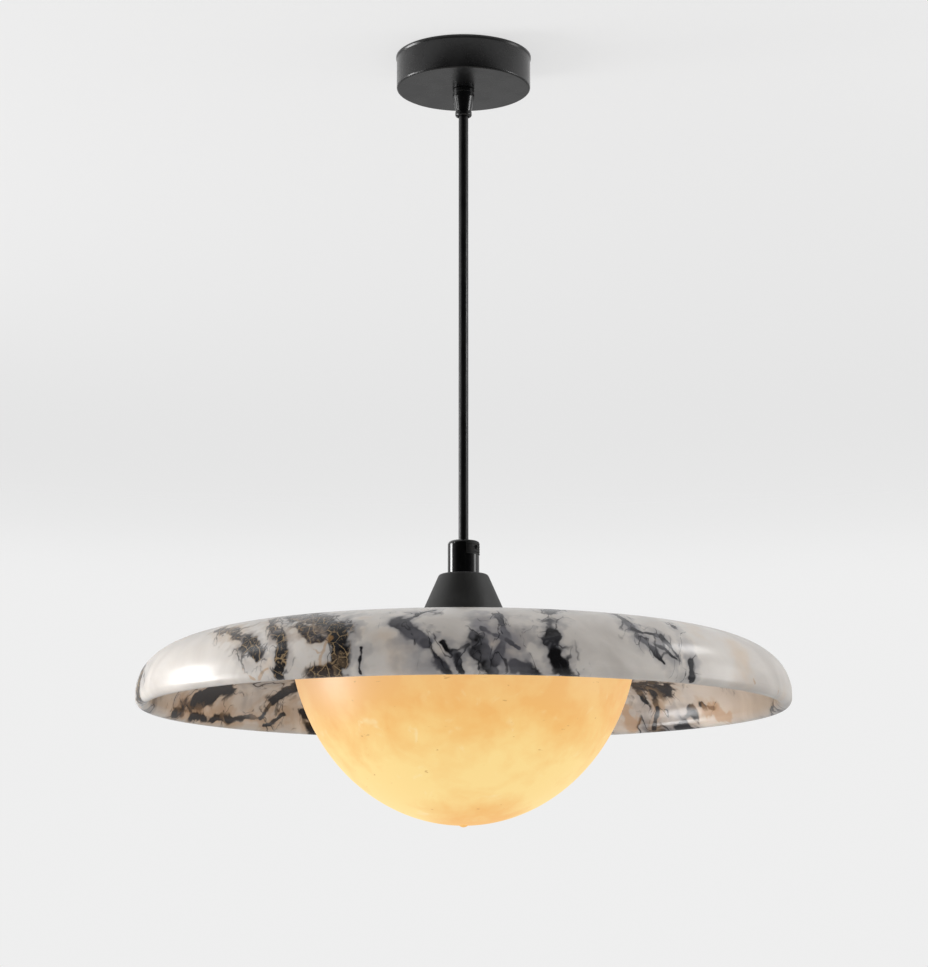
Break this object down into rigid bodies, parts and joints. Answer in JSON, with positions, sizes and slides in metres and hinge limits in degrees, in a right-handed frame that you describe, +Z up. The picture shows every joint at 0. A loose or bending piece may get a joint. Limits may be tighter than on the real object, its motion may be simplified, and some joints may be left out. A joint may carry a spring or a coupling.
{
  "type": "marble disc pendant light",
  "caption": "Pendant lamp with a black ceiling cup, a round cord, a shallow inverted stone dish and a glowing alabaster half-sphere bowl below it.",
  "frame": {"origin": "on the ceiling, midway between the two screw slots of the strap, on the cord's axis", "axes": "+Z up, out of the lamp and into the ceiling; +X along the strap's two slots; -Y is the front"},
  "size_m": [0.4676, 0.4676, 0.5737],
  "materials": {
    "black_lacquer": "satin black lacquer on spun steel",
    "black_gloss_lacquer": "gloss black lacquer on turned brass",
    "black_steel": "matt black powder coat",
    "zinc_steel": "bright zinc plate",
    "brass": "plain brass",
    "cord_sheath": "black round cord",
    "rubber": "black rubber",
    "core_brown": "brown core insulation",
    "core_blue": "blue core insulation",
    "core_green": "green and yellow core insulation",
    "block_plastic": "white nylon",
    "marble": "polished white marble with black and ochre veins",
    "alabaster": "honed alabaster, lit from inside",
    "holder_black": "black moulded lampholder",
    "porcelain": "white porcelain",
    "bulb_glass": "opal glass",
    "bulb_plastic": "white moulded collar",
    "nickel": "nickel plate",
    "knurled_steel": "blackened knurled steel",
    "soft_tip": "white nylon tip"
  },
  "bodies": {
    "ceiling_set": {"ceiling_bracket": "zinc_steel", "ceiling_nipple": "zinc_steel", "bracket_nuts": "zinc_steel", "canopy": "black_lacquer", "grip_collar": "black_lacquer", "grip_cap": "black_lacquer", "grip_bush": "rubber", "cord_top_end": "cord_sheath", "terminal_block": "block_plastic", "terminal_sleeves": "brass", "terminal_screws": "zinc_steel", "earth_tag": "brass", "earth_screw": "zinc_steel", "ceiling_live_core": "core_brown", "ceiling_neutral_core": "core_blue", "ceiling_earth_core": "core_green"},
    "grip_seat": {"flex_seat": "rubber"},
    "cord": {"suspension_cord": "cord_sheath"},
    "lamp": {"neck_body": "black_gloss_lacquer", "cord_clamp": "black_gloss_lacquer", "clamp_screw": "zinc_steel", "lamp_nipple": "zinc_steel", "lamp_nut": "zinc_steel", "lamp_cone": "black_steel", "cone_gasket": "rubber", "hanger_yoke": "zinc_steel", "marble_disc": "marble", "disc_gasket": "rubber", "gallery_pan": "black_steel", "pan_screws": "zinc_steel", "screw_bosses": "black_steel", "lampholder_cap": "holder_black", "lampholder_shell": "holder_black", "lampholder_core": "porcelain", "lampholder_terminals": "brass", "holder_thread": "brass", "holder_contact": "brass", "cord_bottom_end": "cord_sheath", "lamp_earth_core": "core_green", "lamp_live_core": "core_brown", "lamp_neutral_core": "core_blue"},
    "bulb": {"bulb_globe": "bulb_glass", "bulb_housing": "bulb_plastic", "bulb_cap": "nickel", "bulb_tip": "nickel"},
    "bowl": {"bowl": "alabaster", "bowl_gasket": "rubber"},
    "thumb_screw_1": {"thumb_screw_1": "knurled_steel", "thumb_tip_1": "soft_tip"},
    "thumb_screw_2": {"thumb_screw_2": "knurled_steel", "thumb_tip_2": "soft_tip"},
    "thumb_screw_3": {"thumb_screw_3": "knurled_steel", "thumb_tip_3": "soft_tip"}
  },
  "joints": [
    {"name": "swing_front_back", "type": "hinge", "parent": "ceiling_set", "child": "grip_seat", "pos_m": [0, 0, -0.0446], "axis": [1, 0, 0], "range_deg": [-12, 12]},
    {"name": "swing_left_right", "type": "hinge", "parent": "grip_seat", "child": "cord", "pos_m": [0, 0, -0.0446], "axis": [0, 1, 0], "range_deg": [-12, 12]},
    {"name": "lamp_turn", "type": "hinge", "parent": "cord", "child": "lamp", "pos_m": [0, 0, -0.38], "axis": [0, 0, 1], "range_deg": [-180, 180]},
    {"name": "bowl_lower", "type": "slide", "parent": "lamp", "child": "bowl", "axis": [0, 0, -1], "range_m": [0, 0.1]},
    {"name": "bulb_turn", "type": "hinge", "parent": "lamp", "child": "bulb", "pos_m": [0, 0, -0.44], "axis": [0, 0, -1], "range_deg": [0, 900]},
    {"name": "thumb_screw_1_travel", "type": "slide", "parent": "lamp", "child": "thumb_screw_1", "axis": [0, 1, 0], "range_m": [0, 0.005]},
    {"name": "thumb_screw_2_travel", "type": "slide", "parent": "lamp", "child": "thumb_screw_2", "axis": [-0.866, -0.5, 0], "range_m": [0, 0.005]},
    {"name": "thumb_screw_3_travel", "type": "slide", "parent": "lamp", "child": "thumb_screw_3", "axis": [0.866, -0.5, 0], "range_m": [0, 0.005]}
  ]
}
